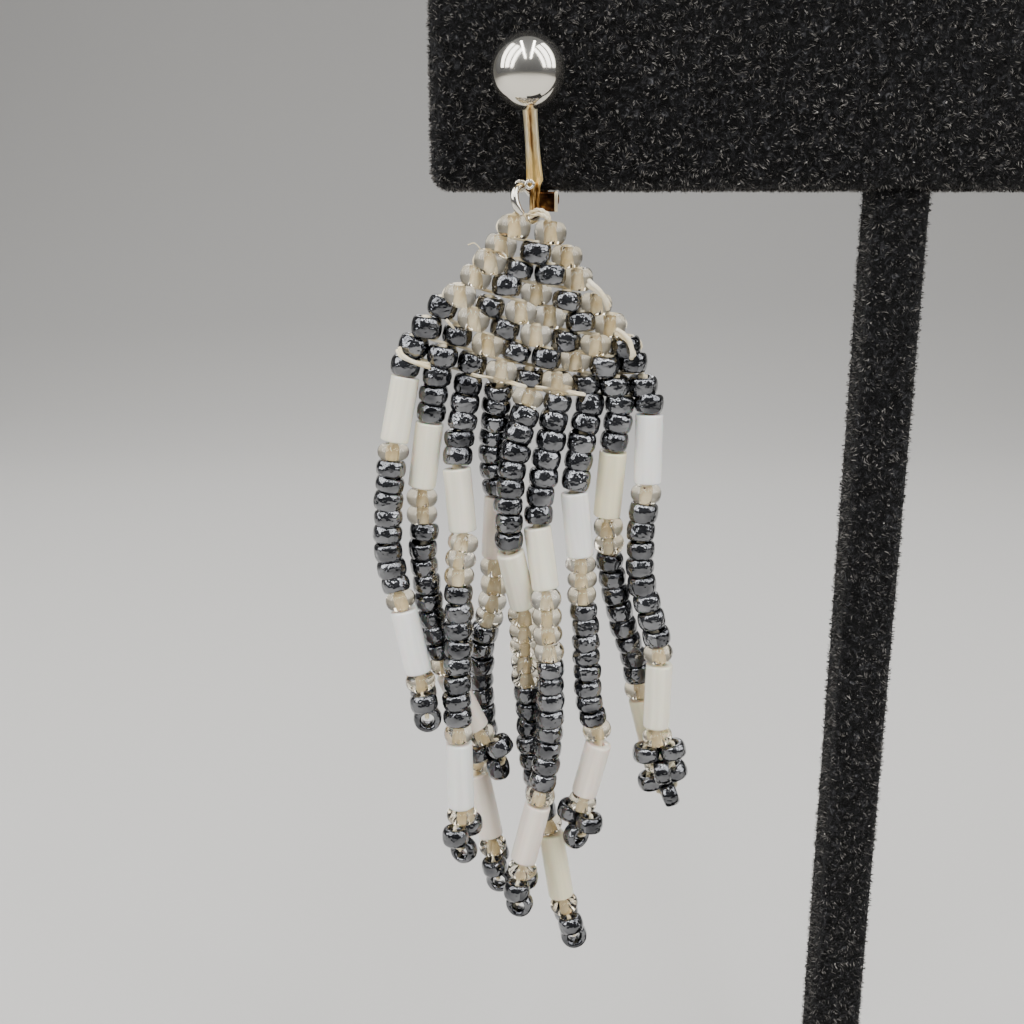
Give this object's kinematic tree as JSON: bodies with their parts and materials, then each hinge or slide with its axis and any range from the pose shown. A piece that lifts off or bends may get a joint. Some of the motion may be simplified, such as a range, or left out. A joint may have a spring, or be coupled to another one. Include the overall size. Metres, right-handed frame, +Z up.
{
  "type": "clip-on fringe earring on a T-bar display stand",
  "caption": "Beaded clip-on earring, a brick-stitched triangle with a fringe of seed beads and tube beads, clipped on the bar of a velvet display stand.",
  "frame": {"origin": "centre of the foot plate's underside, straight below the post", "axes": "+Z up, -Y to the front, where the earring hangs, +X to the right as the front is seen"},
  "size_m": [0.0743, 0.042, 0.118],
  "materials": {
    "velvet": "short pile velvet",
    "gold": "pale gold plating, the ball polished",
    "silver": "polished silver plating",
    "thread": "waxed cream beading thread",
    "seed_bead": "metallic hematite-coloured and clear glass, high gloss",
    "bugle": "satin white glass"
  },
  "bodies": {
    "root": {"stand_base": "velvet", "stand_post": "velvet", "stand_crossbar": "velvet", "clip_front": "gold", "clip_pin": "gold", "jump_ring": "silver", "hanging_loop": "thread", "bead_panel": "seed_bead", "fringe_1": "seed_bead", "fringe_2": "seed_bead", "fringe_3": "seed_bead", "fringe_4": "seed_bead", "fringe_5": "seed_bead", "fringe_6": "seed_bead", "fringe_7": "seed_bead", "fringe_8": "seed_bead", "fringe_9": "seed_bead", "bugle_1_upper": "bugle", "bugle_1_lower": "bugle", "bugle_2_upper": "bugle", "bugle_2_lower": "bugle", "bugle_3_upper": "bugle", "bugle_3_lower": "bugle", "bugle_4_upper": "bugle", "bugle_4_lower": "bugle", "bugle_5_upper": "bugle", "bugle_5_lower": "bugle", "bugle_6_upper": "bugle", "bugle_6_lower": "bugle", "bugle_7_upper": "bugle", "bugle_7_lower": "bugle", "bugle_8_upper": "bugle", "bugle_8_lower": "bugle", "bugle_9_upper": "bugle", "bugle_9_lower": "bugle", "thread_1": "thread", "thread_2": "thread", "thread_3": "thread", "thread_4": "thread", "thread_5": "thread", "thread_6": "thread", "thread_7": "thread", "thread_8": "thread", "thread_9": "thread"},
    "lever": {"clip_lever": "gold"}
  },
  "joints": [
    {"name": "clip_hinge", "type": "hinge", "parent": "root", "child": "lever", "pos_m": [-0.02645, -0.00152, 0.09731], "axis": [-1, 0, 0], "range_deg": [0, 80]}
  ]
}
